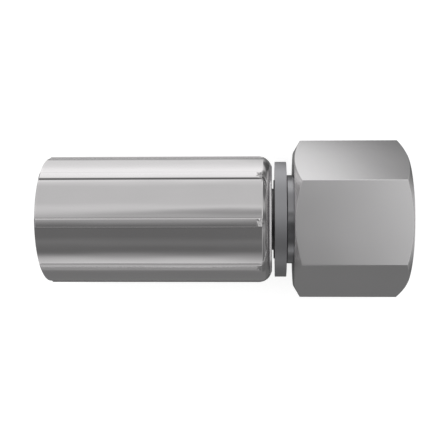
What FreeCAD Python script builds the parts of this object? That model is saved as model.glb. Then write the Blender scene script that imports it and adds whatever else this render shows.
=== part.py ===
import FreeCAD, Part
import os
import re

import Sketcher

# Crimp hose fitting for a 1/2 in (DN 12) hose, with a swivel nut for a G 1/2 thread and a 60 degree cone.
# The axis of everything is X. The thread begins at X = 0, just inside the nut's open face, and its mouth
# looks along +X.
# The fitting lies on one flat of the nut, so one flat faces -Z and one faces +Z. Lengths are in millimetres.

# Each size can be set by itself. Angles are in degrees.
SIZES = {
    # flow bore, and the cone that its wall ends in
    "bore_radius": 4.75,
    "bore_chamfer": 0.5,
    "cone_tip_wall": 1.4,
    "cone_depth": 2.62,
    "cone_half_angle": 30.0,
    # neck and head of the nipple, which pass through the thread when the nut goes on
    "head_reach": 11.8,
    "head_clearance": 0.55,
    "neck_clearance": 0.08,
    "neck_show": 1.0,
    "neck_chamfer": 0.15,
    # swivel nut
    "nut_wall": 4.18,
    "nut_length": 22.0,
    "nut_face_inset": 0.35,
    "nut_chamfer_angle": 30.0,
    "mouth_depth": 1.25,
    "runout_depth": 1.33,
    "runout_width": 4.3,
    "nut_back_wall": 5.8,
    "nut_bore_chamfer": 0.4,
    # ring that holds the nut on the neck
    "wire_radius": 0.7,
    "wire_gap_angle": 20.0,
    "wire_seat": 0.02,
    "wire_clearance": 0.08,
    "wire_inset": 2.6,
    # soft seal on the cone
    "seal_radius": 0.75,
    "seal_setback": 2.2,
    "seal_groove_rise": 0.15,
    "seal_seat": 0.02,
    "seal_side_clearance": 0.15,
    # collar disc and the grooves beside it
    "collar_radius": 11.4,
    "collar_thickness": 2.26,
    "step_drop": 0.97,
    "step_width": 0.24,
    "undercut_width": 0.23,
    # lock between the nipple and the shell
    "lock_groove_wall": 1.35,
    "lock_height": 1.2,
    "lock_width": 2.2,
    "lock_seat": 0.02,
    "shell_gap": 0.3,
    # barbed tail
    "tail_wall": 1.7,
    "tail_recess": 1.5,
    "nose_length": 2.0,
    "barb_count": 8,
    "barb_depth": 0.4,
    "barb_ramp": 2.4,
    "barb_land": 0.5,
    "barb_end": 1.85,
    # crimped shell around the space for the hose
    "hose_space": 3.9,
    "shell_wall": 2.18,
    "shell_length": 44.15,
    "shell_back_wall": 3.0,
    "shoulder_radius": 2.7,
    "mouth_edge": 0.25,
    "tooth_count": 8,
    "tooth_height": 0.5,
    "tooth_width": 0.9,
    "tooth_flank": 0.5,
    "tooth_inset": 3.6,
    "tooth_lead": 2.35,
    # marks of the crimping dies
    "die_count": 8,
    "press_depth": 0.3,
    "ridge_width": 1.67,
    "press_stop": 1.77,
    "press_ramp": 0.15,
}

# Places on the axis, radii and spacings that follow from the sizes.
PLACES = {
    "nut_face": "mouth_depth",
    "nut_back": "nut_face - nut_length",
    "cone_slope": "tan(cone_half_angle)",
    "cone_tip": "nut_back + head_reach",
    "cone_tip_radius": "bore_radius + cone_tip_wall",
    "neck_radius": "cone_tip_radius + cone_depth",
    "cone_base": "cone_tip - cone_depth / cone_slope",
    "thread_radius": "neck_radius + head_clearance",
    "nut_flat": "thread_radius + nut_wall",
    "nut_face_radius": "nut_flat - nut_face_inset",
    "nut_bore_radius": "neck_radius + neck_clearance",
    "runout_radius": "thread_radius + runout_depth",
    "nut_bore_front": "nut_back + nut_back_wall",
    "runout_back": "nut_bore_front + runout_radius - nut_bore_radius",
    "thread_end": "runout_back + runout_width",
    "wire_middle": "nut_back + wire_inset",
    "wire_circle": "neck_radius + neck_clearance / 2",
    "wire_half_width": "wire_radius + wire_clearance",
    "seal_middle": "cone_tip - seal_setback",
    "seal_half_width": "seal_radius + seal_side_clearance",
    "seal_groove_radius": "cone_tip_radius + seal_groove_rise",
    "seal_circle": "seal_groove_radius + seal_radius + seal_seat",
    "neck_back": "nut_back - neck_show",
    "step_radius": "neck_radius - step_drop",
    "collar_front": "neck_back - undercut_width",
    "collar_back": "collar_front - collar_thickness",
    "step_back": "collar_back - step_width",
    "shell_back": "step_back - shell_gap",
    "shell_floor": "shell_back - shell_back_wall",
    "shell_mouth": "shell_back - shell_length",
    "lock_groove_radius": "bore_radius + lock_groove_wall",
    "lock_radius": "lock_groove_radius + lock_height",
    "lock_back": "shell_floor - lock_width",
    "shell_bore_radius": "lock_groove_radius + lock_seat",
    "tail_end": "shell_mouth + tail_recess",
    "tail_radius": "bore_radius + tail_wall",
    "barb_root": "tail_radius - barb_depth",
    "barb_pitch": "(lock_back - barb_end - tail_end - nose_length) / barb_count",
    "shell_inner_radius": "tail_radius + hose_space",
    "shell_radius": "shell_inner_radius + shell_wall",
    "tooth_radius": "shell_inner_radius - tooth_height",
    "tooth_pitch": "(shell_length - shell_back_wall - tooth_inset - tooth_lead) / tooth_count",
    "press_radius": "shell_radius - press_depth",
    "press_end": "shell_back - press_stop",
}

WORD = re.compile(r"[a-z][a-z_]*")

# How far a cutting profile reaches past the face that it starts from.
CUT_PAST = 1.0

# Two lengths closer than this are the same.
SAME = 0.001


def write_sheet(doc, name, cells):
    """Writes named cells down a new sheet, names in column A and values in column B."""
    sheet = doc.addObject("Spreadsheet::Sheet", name)
    for row, (alias, value) in enumerate(cells.items(), start=1):
        sheet.set(f"A{row}", alias)
        sheet.set(f"B{row}", str(value))
        sheet.setAlias(f"B{row}", alias)
    doc.recompute()
    return sheet


def link(text, own_sheet=None):
    """Puts the name of its sheet before each size and place in a formula."""

    def with_sheet(match):
        word = match.group(0)
        for sheet, cells in (("sizes", SIZES), ("places", PLACES)):
            if word in cells:
                return word if sheet == own_sheet else f"{sheet}.{word}"
        return word

    return WORD.sub(with_sheet, text)


def new_body(doc, label):
    """Makes an empty body that is placed in the shared frame."""
    body = doc.addObject("PartDesign::Body", label)
    body.Label = label
    body.Placement = FreeCAD.Placement()
    return body


def new_sketch(body, name, plane):
    """Makes a sketch on one of the body's own origin planes."""
    sketch = body.newObject("Sketcher::SketchObject", name)
    support = next(item for item in body.Origin.OriginFeatures if item.Role == plane)
    sketch.AttachmentSupport = [(support, "")]
    sketch.MapMode = "FlatFace"
    return sketch


def bind(sketch, kind, places, formula):
    """Adds a dimension to a sketch and ties it to a formula."""
    value = sketch.evalExpression(link(formula))
    index = sketch.addConstraint(Sketcher.Constraint(kind, *places, float(value)))
    sketch.setExpression(f"Constraints[{index}]", link(formula))


def pin_point(sketch, geometry, point, across, up):
    """Fixes a point of a sketch by its two distances from the origin; "0" puts it on an axis."""
    for kind, formula, axis in (("DistanceX", across, -2), ("DistanceY", up, -1)):
        if formula == "0":
            sketch.addConstraint(Sketcher.Constraint("PointOnObject", geometry, point, axis))
        else:
            bind(sketch, kind, (-1, 1, geometry, point), formula)


def outline(sketch, corners):
    """Draws a closed outline of straight lines through corners given as pairs of formulas."""
    spots = []
    for across, up in corners:
        x, y = (float(sketch.evalExpression(link(formula))) for formula in (across, up))
        spots.append(FreeCAD.Vector(x, y, 0))
    lines = []
    for start, end in zip(spots, spots[1:] + spots[:1]):
        lines.append(sketch.addGeometry(Part.LineSegment(start, end), False))
    for line, following in zip(lines, lines[1:] + lines[:1]):
        sketch.addConstraint(Sketcher.Constraint("Coincident", line, 2, following, 1))
    for line, (across, up) in zip(lines, corners):
        pin_point(sketch, line, 1, across, up)


def turned(body, kind, name, corners, plane="XZ_Plane"):
    """Turns an outline about X, to add a Revolution or cut a Groove."""
    sketch = new_sketch(body, f"{name}_profile", plane)
    outline(sketch, corners)
    feature = body.newObject(f"PartDesign::{kind}", name)
    feature.Profile = sketch
    feature.ReferenceAxis = (sketch, ["H_Axis"])
    feature.Angle = 360
    return feature


def wire_loop(body, name, middle, circle, radius):
    """Turns a round section about X, for a ring of round wire or a soft seal."""
    sketch = new_sketch(body, f"{name}_section", "XZ_Plane")
    x, y, r = (float(sketch.evalExpression(link(formula))) for formula in (middle, circle, radius))
    section = Part.Circle(FreeCAD.Vector(x, y, 0), FreeCAD.Vector(0, 0, 1), r)
    geometry = sketch.addGeometry(section, False)
    pin_point(sketch, geometry, 3, middle, circle)
    bind(sketch, "Radius", (geometry,), radius)
    feature = body.newObject("PartDesign::Revolution", name)
    feature.Profile = sketch
    feature.ReferenceAxis = (sketch, ["H_Axis"])
    feature.Angle = 360
    return feature


def round_edges(shape, place, radius):
    """Names the round edges of a shape that lie at a place on the axis and have a radius."""
    names = []
    for number, edge in enumerate(shape.Edges, start=1):
        curve = edge.Curve
        if isinstance(curve, Part.Circle) and abs(curve.Radius - radius) < SAME:
            if abs(curve.Center.x - place) < SAME:
                names.append(f"Edge{number}")
    return names


def make_nipple(doc):
    """One turned piece: barbed tail, lock groove, collar disc, neck and sealing cone."""
    body = new_body(doc, "nipple")

    # From the hose end: the nose, then barbs that rise towards the nut and drop off square.
    corners = [
        ("tail_end", "bore_radius + bore_chamfer"),
        ("tail_end", "barb_root"),
    ]
    for barb in range(SIZES["barb_count"]):
        start = f"tail_end + nose_length + {barb} * barb_pitch"
        corners += [
            (start, "barb_root"),
            (f"{start} + barb_ramp", "tail_radius"),
            (f"{start} + barb_ramp + barb_land", "tail_radius"),
            (f"{start} + barb_ramp + barb_land", "barb_root"),
        ]

    # The shell's back wall is seated between the lock shoulder and the step beside the collar disc.
    corners += [
        ("lock_back", "barb_root"),
        ("lock_back", "lock_radius"),
        ("shell_floor", "lock_radius"),
        ("shell_floor", "lock_groove_radius"),
        ("step_back", "lock_groove_radius"),
        ("step_back", "step_radius"),
        ("collar_back", "step_radius"),
        ("collar_back", "collar_radius"),
        ("collar_front", "collar_radius"),
        ("collar_front", "step_radius"),
        ("neck_back", "step_radius"),
        ("neck_back", "neck_radius - neck_chamfer"),
        ("neck_back + neck_chamfer", "neck_radius"),
    ]

    # The wire lies half in this groove of the neck.
    wire_floor = "wire_circle - wire_radius - wire_seat"
    corners += [
        ("wire_middle - wire_half_width", "neck_radius"),
        ("wire_middle - wire_half_width", wire_floor),
        ("wire_middle + wire_half_width", wire_floor),
        ("wire_middle + wire_half_width", "neck_radius"),
    ]

    # The cone narrows towards the mouth, with a square groove for the seal.
    seal_back = "seal_middle - seal_half_width"
    seal_front = "seal_middle + seal_half_width"
    corners += [
        ("cone_base", "neck_radius"),
        (seal_back, f"cone_tip_radius + (cone_tip - ({seal_back})) * cone_slope"),
        (seal_back, "seal_groove_radius"),
        (seal_front, "seal_groove_radius"),
        (seal_front, f"cone_tip_radius + (cone_tip - ({seal_front})) * cone_slope"),
        ("cone_tip", "cone_tip_radius"),
        ("cone_tip", "bore_radius + bore_chamfer"),
        ("cone_tip - bore_chamfer", "bore_radius"),
        ("tail_end + bore_chamfer", "bore_radius"),
    ]
    turned(body, "Revolution", "nipple_turning", corners)
    return body


def make_crimp_shell(doc):
    """One turned sleeve with inner teeth, pressed by eight dies that leave a ridge between each two."""
    body = new_body(doc, "crimp_shell")
    corners = [
        ("shell_mouth", "shell_radius - mouth_edge"),
        ("shell_mouth + mouth_edge", "shell_radius"),
        ("shell_back", "shell_radius"),
        ("shell_back", "shell_bore_radius"),
        ("shell_floor", "shell_bore_radius"),
        ("shell_floor", "shell_inner_radius"),
    ]

    # Teeth that grip the hose, from the back wall to the mouth.
    for tooth in range(SIZES["tooth_count"]):
        front = f"shell_floor - tooth_inset - {tooth} * tooth_pitch"
        corners += [
            (front, "shell_inner_radius"),
            (f"{front} - tooth_flank", "tooth_radius"),
            (f"{front} - tooth_flank - tooth_width", "tooth_radius"),
            (f"{front} - 2 * tooth_flank - tooth_width", "shell_inner_radius"),
        ]
    corners += [
        ("shell_mouth + mouth_edge", "shell_inner_radius"),
        ("shell_mouth", "shell_inner_radius + mouth_edge"),
    ]
    turning = turned(body, "Revolution", "shell_turning", corners)
    doc.recompute()

    # The full round of the shoulder.
    shoulder = body.newObject("PartDesign::Fillet", "shell_shoulder")
    shoulder.Base = (turning, round_edges(turning.Shape, doc.places.shell_back, doc.places.shell_radius))
    shoulder.setExpression("Radius", link("shoulder_radius"))
    doc.recompute()

    # Each die presses an arc from the mouth to the shoulder, and leaves the metal between two dies standing.
    press = turned(
        body,
        "Groove",
        "die_mark",
        [
            (f"shell_mouth - {CUT_PAST}", "press_radius"),
            ("press_end", "press_radius"),
            ("press_end + press_ramp", "shell_radius"),
            ("press_end + press_ramp", f"shell_radius + {CUT_PAST}"),
            (f"shell_mouth - {CUT_PAST}", f"shell_radius + {CUT_PAST}"),
        ],
    )
    sketch = press.Profile[0]
    sketch.AttachmentOffset = FreeCAD.Placement(FreeCAD.Vector(), FreeCAD.Rotation(FreeCAD.Vector(1, 0, 0), 1))
    sketch.setExpression("AttachmentOffset.Rotation.Angle", link("180 / die_count"))
    press.setExpression("Angle", link("360 / die_count - 180 / pi * ridge_width / shell_radius"))
    press.Midplane = True
    doc.recompute()
    marks = body.newObject("PartDesign::PolarPattern", "die_marks")
    marks.Originals = [press]
    marks.Axis = (sketch, ["H_Axis"])
    marks.Angle = 360
    marks.setExpression("Occurrences", link("die_count"))
    body.Tip = marks
    return body


def make_swivel_nut(doc):
    """A hexagon nut, chamfered at both ends, threaded at the mouth and bored for the neck at the back."""
    body = new_body(doc, "swivel_nut")
    sketch = new_sketch(body, "nut_hexagon", "YZ_Plane")
    corner = "nut_flat / cos(30)"
    flat = "nut_flat"
    outline(
        sketch,
        [
            (corner, "0"),
            (f"{corner} / 2", flat),
            (f"-{corner} / 2", flat),
            (f"-{corner}", "0"),
            (f"-{corner} / 2", f"-{flat}"),
            (f"{corner} / 2", f"-{flat}"),
        ],
    )
    blank = body.newObject("PartDesign::Pad", "nut_blank")
    blank.Profile = sketch
    blank.SideType = "Two sides"
    blank.setExpression("Length", link("nut_face"))
    blank.setExpression("Length2", link("-nut_back"))
    doc.recompute()

    # Cones that take the corners off both ends.
    reach = f"({corner} + {CUT_PAST})"
    setback = f"({reach} - nut_face_radius) * tan(nut_chamfer_angle)"
    for name, face, inwards in (("mouth_corners", "nut_face", "-"), ("back_corners", "nut_back", "+")):
        outwards = "+" if inwards == "-" else "-"
        turned(
            body,
            "Groove",
            name,
            [
                (face, "nut_face_radius"),
                (f"{face} {inwards} {setback}", reach),
                (f"{face} {outwards} {CUT_PAST}", reach),
                (f"{face} {outwards} {CUT_PAST}", "nut_face_radius"),
            ],
        )
        doc.recompute()

    # Everything inside: mouth, thread, run-out, bore for the neck and the other half of the wire's groove.
    wire_roof = "wire_circle + wire_radius + wire_clearance"
    turned(
        body,
        "Groove",
        "nut_boring",
        [
            (f"nut_face + {CUT_PAST}", "0"),
            (f"nut_face + {CUT_PAST}", "thread_radius + mouth_depth"),
            ("nut_face", "thread_radius + mouth_depth"),
            ("0", "thread_radius"),
            ("thread_end", "thread_radius"),
            ("thread_end - runout_depth", "runout_radius"),
            ("runout_back", "runout_radius"),
            ("nut_bore_front", "nut_bore_radius"),
            ("wire_middle + wire_half_width", "nut_bore_radius"),
            ("wire_middle + wire_half_width", wire_roof),
            ("wire_middle - wire_half_width", wire_roof),
            ("wire_middle - wire_half_width", "nut_bore_radius"),
            ("nut_back + nut_bore_chamfer", "nut_bore_radius"),
            ("nut_back", "nut_bore_radius + nut_bore_chamfer"),
            (f"nut_back - {CUT_PAST}", "nut_bore_radius + nut_bore_chamfer"),
            (f"nut_back - {CUT_PAST}", "0"),
        ],
    )
    return body


def make_retaining_ring(doc):
    """An open ring of round wire, half in the neck and half in the nut, with its gap at the bottom."""
    body = new_body(doc, "retaining_ring")
    ring = wire_loop(body, "ring_wire", "wire_middle", "wire_circle", "wire_radius")
    ring.Midplane = True
    ring.setExpression("Angle", link("360 - wire_gap_angle"))
    return body


def make_cone_o_ring(doc):
    """The soft seal in the groove of the cone."""
    body = new_body(doc, "cone_o_ring")
    wire_loop(body, "seal_cord", "seal_middle", "seal_circle", "seal_radius")
    return body


def main():
    """Builds the document, tests every object and writes one file for each piece."""
    doc = FreeCAD.newDocument("crimp_hose_fitting")
    write_sheet(doc, "sizes", SIZES)
    write_sheet(doc, "places", {name: "=" + link(text, "places") for name, text in PLACES.items()})
    bodies = [
        make_crimp_shell(doc),
        make_nipple(doc),
        make_swivel_nut(doc),
        make_retaining_ring(doc),
        make_cone_o_ring(doc),
    ]
    doc.recompute()

    for item in doc.Objects:
        if "Invalid" in item.State or "Error" in item.State:
            raise RuntimeError(f"{item.Label} failed: {item.State}")
    for body in bodies:
        if body.Shape.isNull() or not body.Shape.isValid() or len(body.Shape.Solids) != 1:
            raise RuntimeError(f"{body.Label} is not one good solid")

    os.makedirs("parts", exist_ok=True)
    for body in bodies:
        body.Shape.exportStep(f"parts/{body.Label}.step")
        box = body.Shape.BoundBox
        print(f"{body.Label}: {body.Shape.Volume:.1f} mm3, X {box.XMin:.2f} to {box.XMax:.2f}")


main()
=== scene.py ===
"""Crimp hose fitting with a swivel nut, lying on a white table.

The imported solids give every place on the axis. Each turned or pressed piece is worked out again here as a
fine grid, with broken edges, the thread inside the nut and the marks that tools leave in steel.
The axis of the fitting is X. Angles round it are measured from straight up (+Z) towards +Y.
"""

import logging
import math
from dataclasses import dataclass, field
from enum import Enum
from typing import Sequence, Union

import bpy
import numpy as np
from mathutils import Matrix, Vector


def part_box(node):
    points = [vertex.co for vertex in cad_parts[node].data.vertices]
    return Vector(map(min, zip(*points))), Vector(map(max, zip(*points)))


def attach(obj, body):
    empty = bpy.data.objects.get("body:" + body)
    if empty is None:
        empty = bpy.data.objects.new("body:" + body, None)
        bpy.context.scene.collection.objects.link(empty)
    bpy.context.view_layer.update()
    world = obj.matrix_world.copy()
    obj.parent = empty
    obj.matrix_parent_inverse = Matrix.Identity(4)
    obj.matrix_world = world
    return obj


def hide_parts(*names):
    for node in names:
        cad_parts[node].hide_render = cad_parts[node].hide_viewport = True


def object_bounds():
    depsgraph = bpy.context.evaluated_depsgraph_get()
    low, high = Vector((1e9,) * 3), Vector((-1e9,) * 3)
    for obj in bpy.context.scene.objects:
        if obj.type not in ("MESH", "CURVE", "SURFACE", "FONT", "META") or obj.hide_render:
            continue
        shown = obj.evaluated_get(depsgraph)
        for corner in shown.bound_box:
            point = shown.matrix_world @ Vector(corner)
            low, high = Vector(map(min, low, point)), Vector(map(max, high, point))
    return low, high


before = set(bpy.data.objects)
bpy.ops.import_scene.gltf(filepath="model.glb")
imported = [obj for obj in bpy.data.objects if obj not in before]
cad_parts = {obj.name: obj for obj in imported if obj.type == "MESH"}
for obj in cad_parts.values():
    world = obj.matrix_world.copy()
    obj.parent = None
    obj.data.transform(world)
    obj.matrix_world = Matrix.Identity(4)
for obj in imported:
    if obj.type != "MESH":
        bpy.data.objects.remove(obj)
CAD_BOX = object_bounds()

MM = 0.001
IMAGE_SIDE = 444
LOG = logging.getLogger("crimp_fitting")

# Values that each point of a steel piece carries from 0 to 1, for its finish to read; the third is painted
# shade, which darkens the steel's colour
POINT_VALUES = ("wear", "dull", "soil")
# Radius in metres of the circle on which a finish lays out the angles round the axis
LAYOUT_RADIUS = 0.01
BLACK = (0.0, 0.0, 0.0, 1.0)
WHITE = (1.0, 1.0, 1.0, 1.0)

Pair = tuple[float, float]
Triple = tuple[float, float, float]
Number = Union[float, "Signal"]
Colour = Union[tuple[float, ...], bpy.types.NodeSocket]
Length = Union[float, np.ndarray]


def put_in_scene(name: str, data: bpy.types.ID) -> bpy.types.Object:
    """Makes an object and links it to the scene.

    Args:
        name: Its name.
        data: Its mesh, lamp or camera.
    Returns:
        The object.
    """
    thing = bpy.data.objects.new(name, data)
    bpy.context.scene.collection.objects.link(thing)
    return thing


# Shader expressions


class Signal:
    """A number in a node tree. Arithmetic with it adds Math nodes."""

    def __init__(self, graph: "Graph", socket: bpy.types.NodeSocket) -> None:
        """Wraps an output socket of a graph."""
        self.graph = graph
        self.socket = socket

    def _math(self, operation: str, *values: Number) -> "Signal":
        """Adds one Math node and gives its result."""
        node = self.graph.node("ShaderNodeMath", {"operation": operation}, dict(enumerate(values)))
        return Signal(self.graph, node.outputs[0])

    def __add__(self, other: Number) -> "Signal":
        """self + other."""
        return self._math("ADD", self, other)

    def __radd__(self, other: Number) -> "Signal":
        """other + self."""
        return self._math("ADD", other, self)

    def __sub__(self, other: Number) -> "Signal":
        """self - other."""
        return self._math("SUBTRACT", self, other)

    def __rsub__(self, other: Number) -> "Signal":
        """other - self."""
        return self._math("SUBTRACT", other, self)

    def __mul__(self, other: Number) -> "Signal":
        """self * other."""
        return self._math("MULTIPLY", self, other)

    def __rmul__(self, other: Number) -> "Signal":
        """other * self."""
        return self._math("MULTIPLY", other, self)

    def __pow__(self, other: Number) -> "Signal":
        """self ** other."""
        return self._math("POWER", self, other)

    def turn_from(self, other: "Signal") -> "Signal":
        """Angle of the direction whose sine side is self and whose cosine side is other."""
        return self._math("ARCTAN2", self, other)


class Graph:
    """The nodes of one material or world."""

    def __init__(self, tree: bpy.types.NodeTree) -> None:
        """Starts with an empty tree."""
        self.tree = tree
        tree.nodes.clear()

    def node(self, kind: str, settings: dict | None = None, inputs: dict | None = None) -> bpy.types.Node:
        """Adds a node.

        Args:
            kind: The node's type.
            settings: Its properties, which are set first.
            inputs: Values, sockets or signals for its inputs, by name or number.
        Returns:
            The node.
        """
        node = self.tree.nodes.new(kind)
        for name, value in (settings or {}).items():
            setattr(node, name, value)
        for name, value in (inputs or {}).items():
            if isinstance(value, Signal):
                value = value.socket
            if isinstance(value, bpy.types.NodeSocket):
                self.tree.links.new(value, node.inputs[name])
            else:
                node.inputs[name].default_value = value
        return node

    def signal(self, node: bpy.types.Node, output: str | int = 0) -> Signal:
        """One output of a node as a signal."""
        return Signal(self, node.outputs[output])

    def parts(self, vector: bpy.types.NodeSocket) -> tuple[Signal, Signal, Signal]:
        """The three numbers of a vector."""
        node = self.node("ShaderNodeSeparateXYZ", inputs={0: vector})
        return self.signal(node, 0), self.signal(node, 1), self.signal(node, 2)

    def vector(self, x: Number, y: Number, z: Number) -> bpy.types.NodeSocket:
        """A vector of three numbers."""
        return self.node("ShaderNodeCombineXYZ", inputs={0: x, 1: y, 2: z}).outputs[0]

    def noise(self, place: bpy.types.NodeSocket, scale: float, detail: float = 2.0) -> Signal:
        """Smooth noise from 0 to 1."""
        node = self.node("ShaderNodeTexNoise", inputs={"Vector": place, "Scale": scale, "Detail": detail})
        return self.signal(node)

    def attribute(self, name: str) -> Signal:
        """A value that the mesh carries at its points."""
        return self.signal(self.node("ShaderNodeAttribute", {"attribute_name": name}), "Fac")

    def ramp(self, value: Signal, low: float, high: float) -> Signal:
        """0 below low, 1 above high, and a smooth step between them."""
        node = self.node(
            "ShaderNodeMapRange",
            {"interpolation_type": "SMOOTHSTEP"},
            {"Value": value, "From Min": low, "From Max": high},
        )
        return self.signal(node)

    def blend(self, factor: Number, first: Colour, second: Colour) -> bpy.types.NodeSocket:
        """A colour between two others."""
        return self.node("ShaderNodeMix", {"data_type": "RGBA"}, {0: factor, 6: first, 7: second}).outputs[2]

    def shine(self, grey: Signal) -> bpy.types.Node:
        """A surface that shines by itself in a grey from 0 to 1."""
        colour = self.blend(grey, BLACK, WHITE)
        return self.node("ShaderNodeEmission", inputs={"Color": colour, "Strength": 1.0})

    def show(self, shader: bpy.types.Node) -> None:
        """Makes a shader the surface of the material."""
        self.node("ShaderNodeOutputMaterial", inputs={"Surface": shader.outputs[0]})


def empty_material(name: str) -> tuple[bpy.types.Material, Graph]:
    """Makes a material without nodes.

    Args:
        name: Its name.
    Returns:
        The material and its graph.
    """
    material = bpy.data.materials.new(name)
    material.use_nodes = True
    return material, Graph(material.node_tree)


# Finishes


class Marks(Enum):
    """Which way the tool marks of a surface run."""

    DRAWN = "along the axis"
    TURNED = "round the axis"
    GROUND = "every way"


@dataclass(frozen=True)
class SteelFinish:
    """Bare or plated steel: its colour, its gloss and the fine marks that its tools leave.

    Heights and the marks' spacing are in millimetres, and each scale is a noise's, per metre. rough_shares
    are the least share of the roughness and what the clouds and the grain add to it.
    """

    name: str
    tint: Triple
    roughness: float
    marks: Marks
    mark_height: float
    mark_spacing: float = 0.12
    mark_scale: float = 40.0
    wave_height: float = 0.0
    wave_scales: Pair = (38.0, 330.0)
    cloud: float = 0.05
    cloud_scale: float = 90.0
    grain_share: float = 0.3
    rough_shares: Triple = (0.8, 0.3, 0.12)
    wear_light: float = 0.5
    wear_gloss: float = 0.06
    dull_gain: float = 0.3
    dull_matte: float = 0.0
    # Dark colour that the steel takes where painted shade lies
    soil: Triple = (0.035, 0.034, 0.033)

    def material(self) -> bpy.types.Material:
        """Builds the material.

        The marks are noise in cylinder coordinates that is stretched along the way of the tool. Slow noise
        lightens and dulls the steel a little from place to place, and a slow wave bends what it mirrors. Worn
        edges are brighter and smoother, dull places rougher and less metallic, and the colour goes dark where
        painted shade lies.

        Returns:
            The material.
        """
        material, graph = empty_material(self.name)
        place = graph.node("ShaderNodeTexCoord").outputs["Object"]
        x, y, z = graph.parts(place)
        radius = (y * y + z * z) ** 0.5
        around = y.turn_from(z) * LAYOUT_RADIUS
        fine, slow = 1.0 / (self.mark_spacing * MM), self.mark_scale
        scales = {
            Marks.DRAWN: (slow, fine, fine),
            Marks.TURNED: (fine, slow, fine),
            Marks.GROUND: (fine, fine, fine),
        }
        along, turned, outward = scales[self.marks]
        grain = graph.noise(graph.vector(x * along, around * turned, radius * outward), 1.0, detail=3.0)
        cloud = graph.noise(place, self.cloud_scale)
        wave_along, wave_around = self.wave_scales
        wave = graph.noise(graph.vector(x * wave_along, around * wave_around, 0.0), 1.0, detail=1.0)
        wear, dull, soiled = (graph.attribute(name) for name in POINT_VALUES)
        dark = tuple(value * (1.0 - self.cloud) for value in self.tint)
        light = tuple(min(1.0, value * (1.0 + self.cloud)) for value in self.tint)
        lightness = cloud * (1.0 - self.grain_share) + grain * self.grain_share + wear * self.wear_light
        unshaded_colour = graph.blend(lightness, (*dark, 1.0), (*light, 1.0))
        # Painted shade: the colour is blended towards that dark colour by the third point value
        colour = graph.blend(soiled, unshaded_colour, (*self.soil, 1.0))
        least, by_cloud, by_grain = self.rough_shares
        rough = self.roughness * (least + by_cloud * cloud + by_grain * grain)
        rough = rough - wear * self.wear_gloss + dull * self.dull_gain
        height = grain * self.mark_height + wave * self.wave_height
        bump = graph.node("ShaderNodeBump", inputs={"Strength": 1.0, "Distance": MM, "Height": height})
        shader = graph.node(
            "ShaderNodeBsdfPrincipled",
            inputs={
                "Base Color": colour,
                "Metallic": 1.0 - dull * self.dull_matte,
                "Roughness": rough,
                "Normal": bump.outputs[0],
            },
        )
        graph.show(shader)
        return material


@dataclass(frozen=True)
class RubberFinish:
    """Black moulded rubber with fine pits and a dull bloom. The pits' depth is in millimetres."""

    name: str
    tint: Triple = (0.022, 0.022, 0.024)
    bloom: Triple = (0.045, 0.045, 0.048)
    bloom_scale: float = 500.0
    bloom_edges: Pair = (0.4, 0.7)
    pit_scale: float = 9000.0
    pit_depth: float = 0.01
    pit_strength: float = 0.6
    pit_rough: float = 0.15
    roughness: float = 0.5

    def material(self) -> bpy.types.Material:
        """Builds the material: fine pits from noise, and bloom in soft patches.

        Returns:
            The material.
        """
        material, graph = empty_material(self.name)
        place = graph.node("ShaderNodeTexCoord").outputs["Object"]
        pits = graph.noise(place, self.pit_scale, detail=3.0)
        bloom = graph.ramp(graph.noise(place, self.bloom_scale), *self.bloom_edges)
        colour = graph.blend(bloom, (*self.tint, 1.0), (*self.bloom, 1.0))
        relief = {"Strength": self.pit_strength, "Distance": self.pit_depth * MM, "Height": pits}
        bump = graph.node("ShaderNodeBump", inputs=relief)
        shader = graph.node(
            "ShaderNodeBsdfPrincipled",
            inputs={
                "Base Color": colour,
                "Roughness": self.roughness + self.pit_rough * pits,
                "Normal": bump.outputs[0],
            },
        )
        graph.show(shader)
        return material


# Turned surfaces


@dataclass(frozen=True)
class Extent:
    """Where a solid of the frame ends along the axis, and its reach from the axis, in millimetres."""

    back: float
    front: float
    across: float
    up: float

    @classmethod
    def of(cls, node: str) -> "Extent":
        """Reads the extent of a node."""
        low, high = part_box(node)
        return cls(low.x / MM, high.x / MM, high.y / MM, high.z / MM)


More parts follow.
